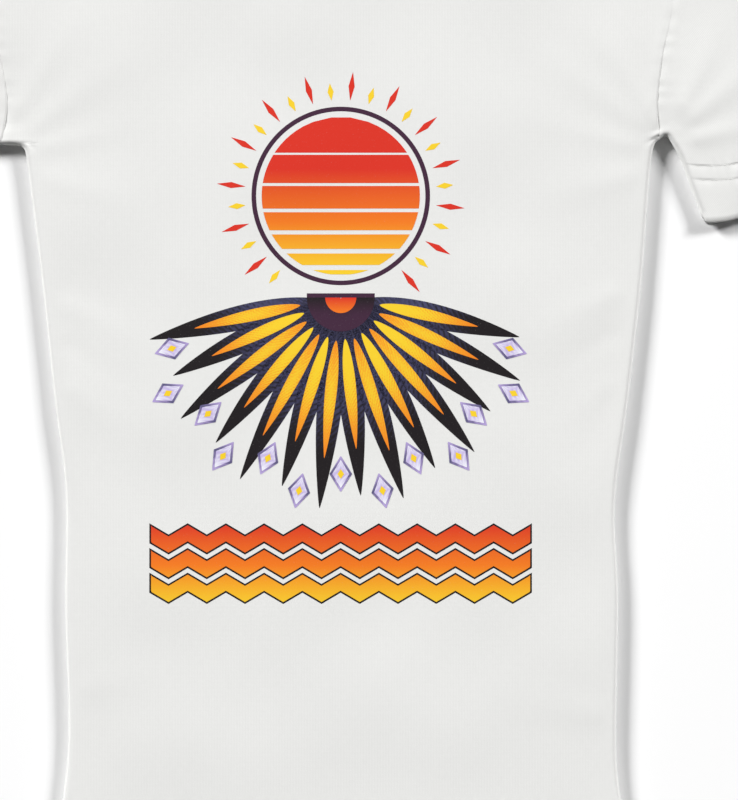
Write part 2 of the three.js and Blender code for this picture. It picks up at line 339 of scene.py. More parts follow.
# Each fold: where it starts, its angle, length, width, height and bend
DRAWN_FOLDS = [
    ((224, 10), 118, 120, 9, 0.50, 0.10),
    ((222, 4), 142, 150, 11, 0.42, 0.06),
    ((220, -6), 168, 120, 10, 0.34, -0.05),
    ((219, -22), 196, 120, 11, 0.36, -0.08),
    ((-234, 10), 62, 120, 9, 0.46, -0.10),
    ((-226, 2), 38, 140, 11, 0.40, -0.05),
    ((-222, -8), 12, 120, 10, 0.34, 0.06),
    ((-219, -24), -18, 110, 11, 0.34, 0.08),
    ((-205, -112), -28, 120, 12, 0.42, 0.05),
    ((-202, -140), -34, 105, 11, -0.36, 0.04),
    ((-199, -170), -40, 100, 12, 0.34, 0.02),
    ((205, -104), 208, 120, 12, 0.40, -0.05),
    ((202, -132), 214, 105, 11, -0.36, -0.04),
    ((199, -166), 222, 95, 12, 0.34, 0.0),
    ((196, -410), 168, 110, 14, 0.36, 0.05),
    ((-192, -392), 14, 100, 14, 0.30, -0.05),
    ((238, 14), 62, 120, 10, 0.75, 0.10),
    ((240, 8), 38, 130, 10, 0.80, 0.04),
    ((241, -2), 14, 120, 9, 0.70, -0.06),
    ((-250, 12), 122, 110, 10, 0.70, -0.10),
    ((-256, 6), 150, 130, 10, 0.80, -0.04),
    ((-262, -2), 176, 120, 9, 0.70, 0.06),
]
# Sharp little creases beside the armpits
CREASES = [
    ((226.8, 3.4), 215, 14, 0.9, -1.3, 0.0),
    ((228.5, 8.0), 196, 12, 1.4, -0.5, 0.1),
    ((-221.0, -1.5), 300, 12, 1.0, -0.45, 0.1),
    ((-223.5, -8.0), 274, 9, 0.9, -0.4, 0.0),
]
# Long low waves: wavelength, direction in degrees, phase and height
WAVES = [
    (168, 24, 0.4, 0.24), (131, 103, 2.1, 0.20), (97, 61, 4.0, 0.13), (118, 160, 5.2, 0.15),
    (76, 132, 1.3, 0.07),
]


def front_height(xy):
    """The front's outer face: a round fold at a closed edge, a full rise to a level middle that the
    air inside holds up, and on it long waves, soft folds, creases and the sunk armhole seams."""
    sizes = bpy.context.scene.shirt_sizes
    d = edge_distance(xy)
    x, y = xy[..., 0], xy[..., 1]
    rise = (1 - (1 - np.clip(d / EDGE_REACH, 0, 1)) ** EDGE_ROUND) ** 0.42
    # Near the hem and the sleeves' openings the cloth sinks in uneven waves.
    hem = np.exp(-np.clip(y - HEM_Y, 0, None) / 55)
    slack = 1 - 0.30 * hem * (0.5 + 0.5 * np.sin(x / 20.5 + 0.8 + 0.4 * np.sin(x / 57)))
    cuff = np.exp(-distance(xy, CUFFS) / 26)
    slack = slack * (1 - 0.34 * cuff * (0.5 + 0.5 * np.sin((x * 0.8 + y * 0.9) / 13.5 + 1.1)))
    z = EDGE_Z + (sizes.front_height / MM - EDGE_Z) * rise * slack
    folds = sum(ridge(xy, *f) for f in DRAWN_FOLDS)
    for wavelength, degrees, phase, height in WAVES:
        a = math.radians(degrees)
        along = x * math.cos(a) + y * math.sin(a)
        folds = folds + height * np.sin(2 * math.pi * along / wavelength + phase)
    z = z + folds * smooth(d / 16) * sizes.fold_strength
    z = z + sum(ridge(xy, *c) for c in CREASES) * smooth(d / 1.2)
    return z + (seam_relief(xy) + hem_relief(xy)) * smooth(d / 4)


def seam_relief(xy):
    """The armhole seams: the cloth steps down at a seam, most a little above the armpit, and past
    it comes up slowly. Small puckers run along it."""
    gap = offset(xy, ARMHOLES)
    s = np.linalg.norm(gap, axis=-1)
    y = xy[..., 1]
    broken = 0.80 + 0.20 * np.sin(y / 1.9 + 2.1 * np.sin(y / 5.7))
    depth = 0.12 + 1.25 * np.exp(-((y - 18) / 20) ** 2) + 0.55 * np.exp(-((y - 54) / 18) ** 2)
    depth = depth * broken
    step = -depth * np.where(gap[..., 0] > 0, np.exp(-s / 7.0), np.exp(-(s / 0.5) ** 1.6))
    allowance = 0.16 * np.exp(-((s - 4.5) / 2.6) ** 2)
    pucker = 0.10 * np.sin(y / 2.1 + 1.6 * np.sin(y / 11)) * np.exp(-(s / 5.5) ** 2)
    return step + allowance + pucker


def hem_relief(xy):
    """Rows of stitches pull the cloth down along a line, in a step and a slow rise, and pucker it
    beside them: short waves across the row, whose spacing wanders, fading away from it."""
    gap = offset(xy, SEWN)
    s = np.linalg.norm(gap, axis=-1)
    x, y = xy[..., 0], xy[..., 1]
    run = x + 0.35 * y
    wander = 2.2 * np.sin(run / 13.0) + 1.3 * np.sin(run / 5.3 + 1.0)
    pucker = 0.16 * np.sin(run / 1.35 + wander) * np.exp(-(s / 3.6) ** 2)
    tight = 0.26 + 0.14 * np.sin(run / 4.3) + 0.08 * np.sin(run / 1.9 + 2)
    rise = 1 - smooth(s / np.where(np.abs(x) > 235, 5.2, 2.9))  # slower on the sleeves
    return pucker - tight * np.where(gap[..., 1] < 0, rise, np.exp(-(s / 0.5) ** 1.6))


def back_height(xy):
    """The back's outer face: flat on the floor, and rounding up to meet the front at a closed edge."""
    d = edge_distance(xy)
    turn = np.sqrt(np.clip(1 - (1 - np.clip(d / UNDER_REACH, 0, 1)) ** 2, 0, 1))
    return EDGE_Z + (BACK_Z - EDGE_Z) * turn


# The two outer faces, each with the side of the cloth that it looks to
FACES = [(front_height, 1), (back_height, -1)]


# Meshes

def spaced(width, count, low=True, high=True):
    """Shares across a width in millimetres: close together at the edges that are round, and even
    in between."""
    start = EDGE_STEPS / width if low else np.zeros(1)
    end = EDGE_STEPS / width if high else np.zeros(1)
    middle = np.linspace(start[-1], 1 - end[-1], count)
    return np.concatenate([start[:-1], middle, 1 - end[:-1][::-1]])


def steps_with(steps, marks, fine=(0, 0.4, 0.8, 1.3, 1.9, 2.7)):
    """Distances with more of them close beside each mark."""
    beside = np.concatenate([f.outer(marks, fine).ravel() for f in (np.add, np.subtract)])
    inside = beside[(beside > steps[0] + 0.15) & (beside < steps[-1] - 0.15)]
    near = np.abs(steps[:, None] - inside[None]).min(1) < 0.3
    near[[0, -1]] = False
    return np.unique(np.round(np.concatenate([steps[~near], inside]), 4))


def with_height(plan, height):
    """Points of a plan, raised to the height that a function gives."""
    return np.concatenate([plan, height(plan)[..., None]], -1)


def unit(vectors):
    """Vectors made one long."""
    return vectors / np.maximum(np.linalg.norm(vectors, axis=-1, keepdims=True), 1e-9)


def grid_normals(grid, ring=False):
    """Unit normals of a grid of points, from the steps between their neighbours."""
    if ring:
        across = np.roll(grid, -1, 1) - np.roll(grid, 1, 1)
    else:
        across = np.gradient(grid, axis=1)
    return unit(np.cross(across, np.gradient(grid, axis=0)))


def quads(grid, ring=False, closed=False):
    """Four-sided faces between the rows and columns of a grid of points. A ring's last column joins
    its first, and where it is closed, so does its last row."""
    index = np.arange(grid.shape[0] * grid.shape[1]).reshape(grid.shape[:2])
    if ring:
        index = np.concatenate([index, index[:, :1]], 1)
    if closed:
        index = np.concatenate([index, index[:1]])
    a, b, c, d = index[:-1, :-1], index[:-1, 1:], index[1:, 1:], index[1:, :-1]
    return np.stack([a, b, c, d], -1).reshape(-1, 4)


def build(name, points, faces, material, uv=None, colour=None):
    """A mesh object from points in millimetres of the plan, which are moved to the frame's place."""
    used, faces = np.unique(faces, return_inverse=True)
    faces = faces.reshape(-1, 4)
    points = points[used].copy()
    points[:, :2] += SHIFT
    mesh = bpy.data.meshes.new(name)
    mesh.vertices.add(len(points))
    mesh.vertices.foreach_set("co", (points * MM).astype(np.float32).ravel())
    mesh.loops.add(faces.size)
    mesh.loops.foreach_set("vertex_index", faces.ravel().astype(np.int32))
    mesh.polygons.add(len(faces))
    mesh.polygons.foreach_set("loop_start", np.arange(0, faces.size, 4, dtype=np.int32))
    mesh.polygons.foreach_set("use_smooth", np.ones(len(faces), bool))
    if uv is not None:
        layer = mesh.uv_layers.new(name="Cloth")
        layer.data.foreach_set("uv", (uv[used][faces.ravel()] * MM).astype(np.float32).ravel())
    if colour is not None:
        layer = mesh.color_attributes.new("Ink", "FLOAT_COLOR", "POINT")
        rgba = np.concatenate([colour[used], np.ones((len(used), 1))], 1)
        layer.data.foreach_set("color", rgba.astype(np.float32).ravel())
    mesh.update(calc_edges=True)
    mesh.validate()
    obj = bpy.data.objects.new(name, mesh)
    bpy.context.scene.collection.objects.link(obj)
    mesh.materials.append(material)
    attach(obj, "root")
    return obj


def thicken(obj, thickness):
    """Gives a cloth its thickness, inwards from its outer face. The narrow faces that close its
    edges are shaded flat, so that they don't bend the light on the cloth beside them."""
    faces = len(obj.data.polygons)
    wall = obj.modifiers.new("Cloth thickness", "SOLIDIFY")
    wall.thickness = thickness
    wall.offset = -1
    wall.use_rim = True
    with bpy.context.temp_override(object=obj, active_object=obj):
        bpy.ops.object.modifier_apply(modifier=wall.name)
    inner_and_outer = np.arange(len(obj.data.polygons)) < 2 * faces
    obj.data.polygons.foreach_set("use_smooth", inner_and_outer)


def turned_rows(rows, normals, cloth):
    """The turned part of a hem: the outer rows copied inwards by two thicknesses of cloth and a
    little air, from the last row to the edge, and a row that rounds the fold. The rows run from the
    edge inwards."""
    step = 2.1 * cloth
    inner = rows - normals * step
    bend = rows[0] - normals[0] * step / 2 + unit(rows[0] - rows[1]) * step * 0.45
    return np.concatenate([inner[::-1], bend[None]])


def body_plan(neckline):
    """The plan of the front or the back between the hem, the sides, the armholes and the neck."""
    shoulders = [walk(LEFT_LINES["shoulder"], 1, 0), walk(neckline), walk(RIGHT_LINES["shoulder"])]

    def edge(s):
        line = np.vstack([s["hem"], s["body"][1:]])
        return joined([walk(line), walk(s["armhole"])], [SIDE_SHARE, 1 - SIDE_SHARE])
    return patch(
        walk(np.array([LEFT["hem"], RIGHT["hem"]], float)),
        joined(shoulders, [SHOULDER_SHARE, 1 - 2 * SHOULDER_SHARE, SHOULDER_SHARE]),
        edge(LEFT_LINES), edge(RIGHT_LINES), hold=2.5)


def body_steps(hem_depth, across, up):
    """The shares across and up the body. They are close together at the round edges and at the
    hem, and fall exactly on the neck's corners and on the armpits."""
    neck_share, arm_share = 1 - 2 * SHOULDER_SHARE, 1 - SIDE_SHARE
    shoulder = spaced(BODY_WIDE * SHOULDER_SHARE, int(across * SHOULDER_SHARE), high=False)
    neck = spaced(NECK_ROUND, int(across * neck_share) - len(EDGE_STEPS))
    u = np.concatenate([
        shoulder * SHOULDER_SHARE,
        SHOULDER_SHARE + neck[1:-1] * neck_share,
        (1 - shoulder * SHOULDER_SHARE)[::-1],
    ])
    hem = steps_with(np.linspace(0, hem_depth, 7), HEM_ROWS)
    side = steps_with(
        np.linspace(hem_depth, BODY_SIDE, int(up * SIDE_SHARE)),
        [BODY_SIDE, BODY_SIDE - PIT_CORNER], (0.6, 1.2, 1.8, 2.6, 3.6, 5, 7))
    arm = steps_with(
        spaced(ARMHOLE_SIDE, int(up * arm_share), low=False) * ARMHOLE_SIDE,
        [0], (0.6, 1.2, 1.8, 2.4, 3.2, 4.2, 5.4))
    v = np.concatenate([
        np.concatenate([hem[:-1], side]) / BODY_SIDE * SIDE_SHARE,
        SIDE_SHARE + arm[1:] / ARMHOLE_SIDE * arm_share,
    ])
    return u, v, len(hem)


def make_body(name, neckline, height, across, down=False):
    """One panel of the body with its turned hem. down turns it to face the floor."""
    sizes = bpy.context.scene.shirt_sizes
    u, v, hem_rows = body_steps(sizes.hem_depth / MM, across, BODY_ROWS)
    outer = with_height(body_plan(neckline)(u, v), height)
    normals = grid_normals(outer) * (-1 if down else 1)
    flap = turned_rows(outer[:hem_rows], normals[:hem_rows], sizes.cloth / MM)
    grid = np.concatenate([flap, outer])
    faces, points = quads(grid), grid.reshape(-1, 3)
    obj = build(name, points, faces[:, ::-1] if down else faces, jersey(), uv=points[:, :2])
    thicken(obj, sizes.cloth)
    return obj


def ring_of(front, back, front_height, back_height):
    """A tube's grid of points: each row runs across the front and comes back across the back."""
    over = with_height(front, front_height)
    under = with_height(back, back_height)
    return np.concatenate([over, under[:, -2:0:-1]], 1)


def make_sleeve(name, s, nodes):
    """A sleeve as one tube of cloth, with its hem turned in."""
    sizes = bpy.context.scene.shirt_sizes
    depth = sizes.cuff_depth / MM
    underarm, fold = s["underarm"], s["fold"]
    sewn_u, sewn_f = 1 - depth / length_of(underarm), 1 - depth / length_of(fold)
    opening = walk(s["cuff"])
    band = moved_ends(walk(s["cuff_seam"]), walk(underarm)(sewn_u), walk(fold)(sewn_f))

    def part(bottom, top, low, high):
        lower = walk(underarm, low[0], high[0])
        upper = walk(fold, low[1], high[1])
        if s["side"] > 0:
            return patch(lambda t: bottom(1 - t), lambda t: top(1 - t), upper, lower)
        return patch(bottom, top, lower, upper)
    arm = part(walk(s["armhole"]), band, (0, 0), (sewn_u, sewn_f))
    cuff = part(band, opening, (sewn_u, sewn_f), (1, 1))
    u = spaced(SLEEVE_WIDE, 62)
    v_arm = spaced(SLEEVE_LONG, 44, high=False)
    v_cuff = (depth - steps_with(np.linspace(0, depth, 12), CUFF_ROWS)[::-1]) / depth
    hem_rows = len(v_cuff)
    plan = np.concatenate([arm(u, v_arm), cuff(u, v_cuff)[1:]])
    outer = ring_of(plan, plan, front_height, back_height)
    normals = grid_normals(outer, ring=True)
    # turned_rows wants rows that run from the edge inwards, so the grid is turned over for it.
    edge_first = slice(None, -hem_rows - 1, -1)
    flap = turned_rows(outer[edge_first], normals[edge_first], sizes.cloth / MM)
    grid = np.concatenate([outer, flap[::-1]])
    # The knit's columns run down the sleeve.
    a = math.atan2(*(np.mean(s["cuff"], axis=0) - np.mean(s["armhole"], axis=0)))
    points = grid.reshape(-1, 3)
    uv = points[:, :2] @ np.array([[math.cos(a), math.sin(a)], [-math.sin(a), math.cos(a)]])
    obj = build(name, points, quads(grid, ring=True), jersey(), uv=uv)
    thicken(obj, sizes.cloth)
    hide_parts(*nodes)
    return obj


def make_neckband():
    """The collar as one closed tube of doubled rib: round the neck it follows the neckline, and its
    section runs from the seam over the outside to the free edge and back on the inside. Ridges
    stand on both faces as a cosine along the band."""
    sizes = bpy.context.scene.shirt_sizes
    front_mm = length_of(NECKLINE)
    round_mm = front_mm + length_of(BACK_NECKLINE)
    ribs = int(round_mm / (sizes.rib_pitch / MM))
    samples, rows = ribs * 6, 12
    here = np.arange(samples) / samples
    share = front_mm / round_mm
    is_front = here < share
    t = np.where(is_front, here / share, 1 - (here - share) / (1 - share))

    def row(w):
        front = (1 - w) * walk(NECKLINE)(t) + w * walk(BAND_EDGE)(t)
        back = (1 - w) * walk(BACK_NECKLINE)(t) + w * walk(BACK_BAND_EDGE)(t)
        plan = np.where(is_front[:, None], front, back)
        d = edge_distance(plan)
        end = np.exp(-d / 7)  # only near the shoulders, where the band folds over to the back
        soft = min(1.0, 3 * w)
        over = front_height(plan)
        over = over - soft * (over - EDGE_Z) * np.exp(-d / 2.2)
        over = over + 0.35 * math.sin(math.pi * w) + 1.2 * (1 - soft) * end
        under = np.maximum(back_height(plan) - 0.1 * end, 0.12)
        return np.concatenate([plan, np.where(is_front, over, under)[:, None]], 1)
    outer = np.stack([row(w) for w in np.linspace(0, 1, rows)])
    normals = grid_normals(outer, ring=True)
    if normals[rows // 2 - 1, samples // 4, 2] < 0:
        normals = -normals
    thick = sizes.band_thickness / MM
    free = unit(outer[-1] - outer[-2])
    bend = [
        outer[-1] + free * thick * out - normals[-1] * thick * down
        for out, down in ((0.28, 0.14), (0.42, 0.5), (0.28, 0.86))
    ]
    grid = np.concatenate([outer, np.stack(bend), (outer - normals * thick)[::-1]])
    facing = np.concatenate([normals, np.stack([free] * len(bend)), -normals[::-1]])
    wave = 0.5 - 0.5 * np.cos(2 * math.pi * here * ribs)
    deep = np.ones(len(grid))
    deep[[0, -1]] = 0.3  # the ridges flatten out at the seam
    grid = grid - facing * (sizes.rib_depth / MM * wave[None, :, None] * deep[:, None, None])
    round_and_over = np.broadcast_arrays(here[None] * round_mm, reaches(grid[:, 0])[:, None])
    obj = build(
        "neckband_rib", grid.reshape(-1, 3), quads(grid, ring=True, closed=True), rib(),
        uv=np.stack(round_and_over, -1).reshape(-1, 2))
    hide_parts("neckband")
    return obj


def surface_frame(xy, height, step=0.4):
    """Points on the cloth and its upward normals there, from the slopes of its height."""
    dx, dy = np.array([step, 0]), np.array([0, step])
    slope_x = (height(xy + dx) - height(xy - dx)) / (2 * step)
    slope_y = (height(xy + dy) - height(xy - dy)) / (2 * step)
    return with_height(xy, height), unit(np.stack([-slope_x, -slope_y, np.ones(len(xy))], -1))


def stitch_shape(rings=5, sides=6):
    """One stitch along X, of unit half length and unit radius: a round bar whose radius falls off
    as an ellipse at its ends."""
    along = np.sin(np.linspace(-1, 1, rings) * math.pi / 2 * 0.93)
    radius = np.sqrt(1 - along ** 2)
    a = np.arange(sides) * 2 * math.pi / sides
    grid = np.stack(np.broadcast_arrays(
        along[:, None], radius[:, None] * np.cos(a), radius[:, None] * np.sin(a)), -1)
    return grid.reshape(-1, 3), quads(grid, ring=True)


def stitches_along(line, height, side, ends=9.0):
    """Stitches laid end to end along a line on the cloth. side is 1 above it and -1 beneath."""
    length = length_of(line)
    count = int((length - 2 * ends) / (STITCH + STITCH_GAP))
    t = (ends + (np.arange(count) + 0.5) * (STITCH + STITCH_GAP)) / length
    at = walk(line)
    ahead, behind = at(t + 0.8 / length), at(t - 0.8 / length)
    radius = bpy.context.scene.shirt_sizes.thread / MM / 2
    centre, normal = surface_frame(at(t), height)
    tangent = unit(with_height(ahead, height) - with_height(behind, height))
    across = np.cross(normal, tangent)
    lift = radius * (0.1 if side > 0 else 0.05)
    shape, faces = stitch_shape()
    scaled = shape * [STITCH / 2, radius, radius]
    points = (
        (centre + normal * lift)[:, None] + tangent[:, None] * scaled[:, 0:1]
        + across[:, None] * scaled[:, 1:2] + normal[:, None] * scaled[:, 2:3])
    faces = faces[None] + (np.arange(count) * len(shape))[:, None, None]
    return points.reshape(-1, 3), faces.reshape(-1, 4)


def merged(parts):
    """Several point and face lists as one."""
    starts = np.cumsum([0] + [len(p) for p, _ in parts[:-1]])
    return np.vstack([p for p, _ in parts]), np.vstack([f + s for (_, f), s in zip(parts, starts)])


def make_stitches(name, runs):
    """One piece of all the stitches along some lines."""
    points, faces = merged([stitches_along(*run) for run in runs])
    obj = build(name, points, faces, thread())
    return obj


# The chest print. Each shape is a thin film of ink a little above the cloth, given as a plan and
# the colour of each of its points.

DISC = np.array([0.6, -40.0])  # its middle
DISC_RADIUS = 56.0
RING = (60.0, 63.2)
RAYS = 32
FAN = np.array([0.6, -112.0])  # the middle of its root
FAN_ROOT = 13.0  # from there to where the leaves start
LEAVES = 14
LEAF_ANGLE = 12.2  # degrees from one leaf to the next
GEM_SIZES = [(12.5, 7.8), (9.8, 5.9), (3.4, 2.3)]  # half the length and width of each layer
BAND_ENDS = (-135.0, 136.0)
BAND_TOP, BAND_FOOT = -272.0, -332.0


def mixed(names, t):
    """A colour between several inks in turn, for t from 0 to 1."""
    colours = bpy.context.scene.shirt_colours
    stops = np.array([getattr(colours, n)[:3] for n in names])
    t = np.clip(t, 0, 1) * (len(names) - 1)
    return np.stack([np.interp(t, range(len(names)), stops[:, k]) for k in range(3)], -1)


def polar(angle, reach):
    """The step of a length along an angle in radians."""
    return reach * np.array([math.cos(angle), math.sin(angle)])


def turned(shape, angle, centre):
    """Plan points turned by an angle in radians and moved."""
    c, s = math.cos(angle), math.sin(angle)
    return shape @ np.array([[c, s], [-s, c]]) + centre


def bar_of_disc(low, high):
    """A level bar of the disc, as wide at each height as the circle, with v up and u across."""
    u, v = np.linspace(-1, 1, 90), np.linspace(low, high, 9)[:, None]
    half = np.sqrt(np.maximum(DISC_RADIUS ** 2 - v ** 2, 0.05))
    return np.stack(np.broadcast_arrays(DISC[0] + u * half, DISC[1] + v), -1)


def arc_band(centre, inner, outer, start, end):
    """A band between two radii, with v outwards and u round it. Angles are in degrees."""
    a = np.radians(np.linspace(start, end, int(abs(end - start) / 1.5) + 2))
    r = np.linspace(inner, outer, 4)[:, None]
    return np.stack([centre[0] + r * np.cos(a), centre[1] + r * np.sin(a)], -1)


def blade(length, width, bend, start=0.0, end=1.0):
    """A long leaf along X: its half width is a sine of its length, and its middle line bends as a
    parabola."""
    v = np.linspace(start, end, 84)[:, None]
    u = np.linspace(-1, 1, 9)
    share = np.clip((v - start) / (end - start), 0, 1)
    half = width * np.sin(math.pi * share ** 0.78) ** 0.85 + 0.12
    return np.stack(np.broadcast_arrays(length * v, u * half + bend * v * v), -1)


def diamond(length, width):
    """A diamond along X, whose half width falls in a straight line to both ends."""
    v = np.linspace(-1, 1, 11)[:, None]
    u = np.linspace(-1, 1, 7)
    return np.stack(np.broadcast_arrays(v * length, u * width * (1.03 - np.abs(v))), -1)


def zigzag(ends, y, depth, height, periods, inset=0.0):
    """A band that runs up and down in straight lines between two ends, with v across its depth."""
    left, right = ends
    x = np.linspace(left, right, periods * 16 + 1)
    saw = 2 * np.abs((x - left) / (right - left) * periods % 1 - 0.5) * height
    x = np.clip(x, left + inset, right - inset)
    v = np.linspace(-0.5, 0.5, 7)[:, None] * depth
    return np.stack(np.broadcast_arrays(x, y + saw + v), -1)


def even(plan, ink):
    """A shape with one ink all over."""
    return plan, np.broadcast_to(mixed([ink, ink], np.zeros(1)), (*plan.shape[:2], 3))


def graded(plan, inks, top, bottom):
    """A shape whose ink changes with the height on the shirt."""
    return plan, mixed(inks, (top - plan[..., 1]) / (top - bottom))


def streaked(plan, inks, streaks, depth=0.5):
    """A leaf whose inks run from its root to its tip, with a second run of them in fine slanting
    streaks that are a sine of the length and of the distance from the middle line."""
    v = np.linspace(0, 1, plan.shape[0])[:, None]
    u = np.abs(np.linspace(-1, 1, plan.shape[1]))
    wave = np.sin(2 * math.pi * (streaks * v + 1.8 * u) + 1.7 * np.sin(9 * v))
    return plan, mixed(inks, v + 0 * u + depth * np.clip(wave, -0.2, 1) * (0.3 + 0.7 * u))


def drawn_disc():
    """The ring, and inside it a disc of bars that get narrower downwards, with diamonds round it."""
    top, bottom = DISC[1] + DISC_RADIUS, DISC[1] - DISC_RADIUS
    shapes, high, depth = [], DISC_RADIUS - 0.4, 25.0
    while high > -DISC_RADIUS + 3:
        low = max(high - depth, -DISC_RADIUS + 0.4)
        shapes.append(graded(bar_of_disc(low, high), ["red", "red", "orange", "yellow"], top, bottom))
        high, depth = low - 1.6 - (24 - depth) * 0.12, depth * 0.80
    for k in range(RAYS):
        angle = math.radians(k * 360 / RAYS + 5.6)
        if math.sin(angle) > -0.80:
            half, ink = (10.0, "red") if k % 2 else (6.0, "yellow")
            shapes.append(even(turned(diamond(half, 2.1), angle, DISC + polar(angle, 68 + half)), ink))
    return [even(arc_band(DISC, *RING, 0, 360), "plum")], shapes


def drawn_leaves():
    """The fan's leaves and the heart in each: every other one is shorter, and they bend outwards."""
    leaves, hearts = [], []
    for k in range(LEAVES):
        angle = math.radians(-90 + (k - (LEAVES - 1) / 2) * LEAF_ANGLE)
        length = 138 + 12 * math.sin(angle) ** 2 - (9 if k % 2 else 0) - FAN_ROOT
        bend = -5.0 * math.sin((angle + math.pi / 2) * 1.6)
        root = FAN + polar(angle, FAN_ROOT)
        leaf = turned(blade(length, 8.8, bend), angle, root)
        leaves.append(streaked(leaf, ["black", "slate", "black", "black"], 26, depth=0.3))
        heart = turned(blade(length, 4.1, bend, 0.13, 0.74), angle, root)
        hearts.append(streaked(heart, ["yellow" if k % 2 else "orange", "yellow", "orange"], 22))
    return leaves, hearts


def drawn_gems():
    """Diamonds between the leaves' tips, each in three layers."""
    gems, hearts, dots = [], [], []
    for k in range(LEAVES - 1):
        angle = math.radians(-90 + (k - (LEAVES - 2) / 2) * LEAF_ANGLE)
        place = FAN + polar(angle, 140 if k % 2 else 125)
        gem, heart, dot = (turned(diamond(*size), angle, place) for size in GEM_SIZES)
        gems.append(streaked(gem, ["lilac", "slate", "lilac"], 3, depth=0.2))
        hearts.append(streaked(heart, ["white", "lilac", "white"], 4))
        dots.append(even(dot, "yellow"))
    return gems, hearts, dots


def drawn_bands():
    """Three zigzag bands and their dark outlines."""
    outlines, bands = [], []
    for y in (-287.0, -304.5, -322.0):
        outlines.append(even(zigzag(BAND_ENDS, y, 14.2, 8.0, 10), "black"))
        band = zigzag(BAND_ENDS, y, 11.4, 8.0, 10, 1.2)
        bands.append(graded(band, ["red", "orange", "yellow"], BAND_TOP, BAND_FOOT))
    return outlines, bands


def make_ink(name, shapes, layer):
    """A film of ink over the cloth, from plans and their colours. The layers count up from it."""
    lift = layer * bpy.context.scene.shirt_sizes.ink / MM
    parts = []
    for plan, _ in shapes:
        points, faces = with_height(plan, front_height) + [0, 0, lift], quads(plan)
        v, u = plan.shape[0] // 2, plan.shape[1] // 2
        across, up = plan[v, u + 1] - plan[v, u], plan[v + 1, u] - plan[v, u]
        faces_up = across[0] * up[1] > across[1] * up[0]
        parts.append((points.reshape(-1, 3), faces if faces_up else faces[:, ::-1]))
    points, faces = merged(parts)
    colours = np.vstack([colour.reshape(-1, 3) for _, colour in shapes])
    obj = build(name, points, faces, ink(), uv=points[:, :2], colour=colours)


# Materials

def linear(hex_colour):
    """A linear RGBA colour from an sRGB hex number."""
    srgb = np.array([hex_colour >> 16, hex_colour >> 8 & 255, hex_colour & 255]) / 255
    rgb = np.where(srgb <= 0.04045, srgb / 12.92, ((srgb + 0.055) / 1.055) ** 2.4)
    return (*map(float, rgb), 1.0)


def add(tree, kind, settings=None, links=None):
    """Adds a node, sets its sockets or properties by name, and links its inputs to other sockets,
    or to the first output of other nodes."""
    node = tree.nodes.new(kind)
    for key, value in (settings or {}).items():
        if isinstance(key, int) or key in node.inputs:
            node.inputs[key].default_value = value
        else:
            setattr(node, key, value)
    for key, source in (links or {}).items():
        tree.links.new(getattr(source, "outputs", [source])[0], node.inputs[key])
    return node


def material(name, nodes):
    """The material of a name, which its first user has made. nodes fills its tree, and gives its
    relief, how strong and how many millimetres deep that is, and the shader's settings and links."""
    found = bpy.data.materials.get(name)
    if found:
        return found
    made = bpy.data.materials.new(name)
    made.use_nodes = True
    tree = made.node_tree
    tree.nodes.clear()
    relief, strength, depth, settings, links = nodes(tree)
    bump = add(
        tree, "ShaderNodeBump", {"Strength": strength, "Distance": depth * MM}, {"Height": relief})
    surface = add(tree, "ShaderNodeBsdfPrincipled", settings, {**links, "Normal": bump})
    add(tree, "ShaderNodeOutputMaterial", links={0: surface})
    return made


def knit(tree, uv, wale_mm, course_mm, fuzz, fuzz_share):
    """The relief of jersey's face: columns of V-shaped stitches, and a share of a fuzz over them.
    The columns are a cosine across, and the stitches a cosine along that slants to each side."""
    place = add(tree, "ShaderNodeSeparateXYZ", links={0: uv})
    made = {"x": place.outputs[0], "y": place.outputs[1], "fuzz": fuzz}
    for name, operation, *inputs in [
        ("across", "MULTIPLY", "x", 1 / (wale_mm * MM)),
        ("share", "FRACT", "across"),
        ("from middle", "SUBTRACT", "share", 0.5),
        ("slant", "ABSOLUTE", "from middle"),
        ("along", "MULTIPLY_ADD", "y", 1 / (course_mm * MM), "slant"),
        ("column turn", "MULTIPLY", "across", 2 * math.pi),
        ("column", "COSINE", "column turn"),
        ("stitch turn", "MULTIPLY", "along", 2 * math.pi),
        ("stitch", "COSINE", "stitch turn"),
        ("columns", "MULTIPLY_ADD", "column", -0.3, 0.5),
        ("face", "MULTIPLY_ADD", "stitch", 0.2, "columns"),
        ("relief", "MULTIPLY_ADD", "fuzz", fuzz_share, "face"),
    ]:
        numbers = {k: v for k, v in enumerate(inputs) if not isinstance(v, str)}
        sources = {k: made[v] for k, v in enumerate(inputs) if isinstance(v, str)}
        made[name] = add(tree, "ShaderNodeMath", {"operation": operation, **numbers}, sources)
    return made["relief"]


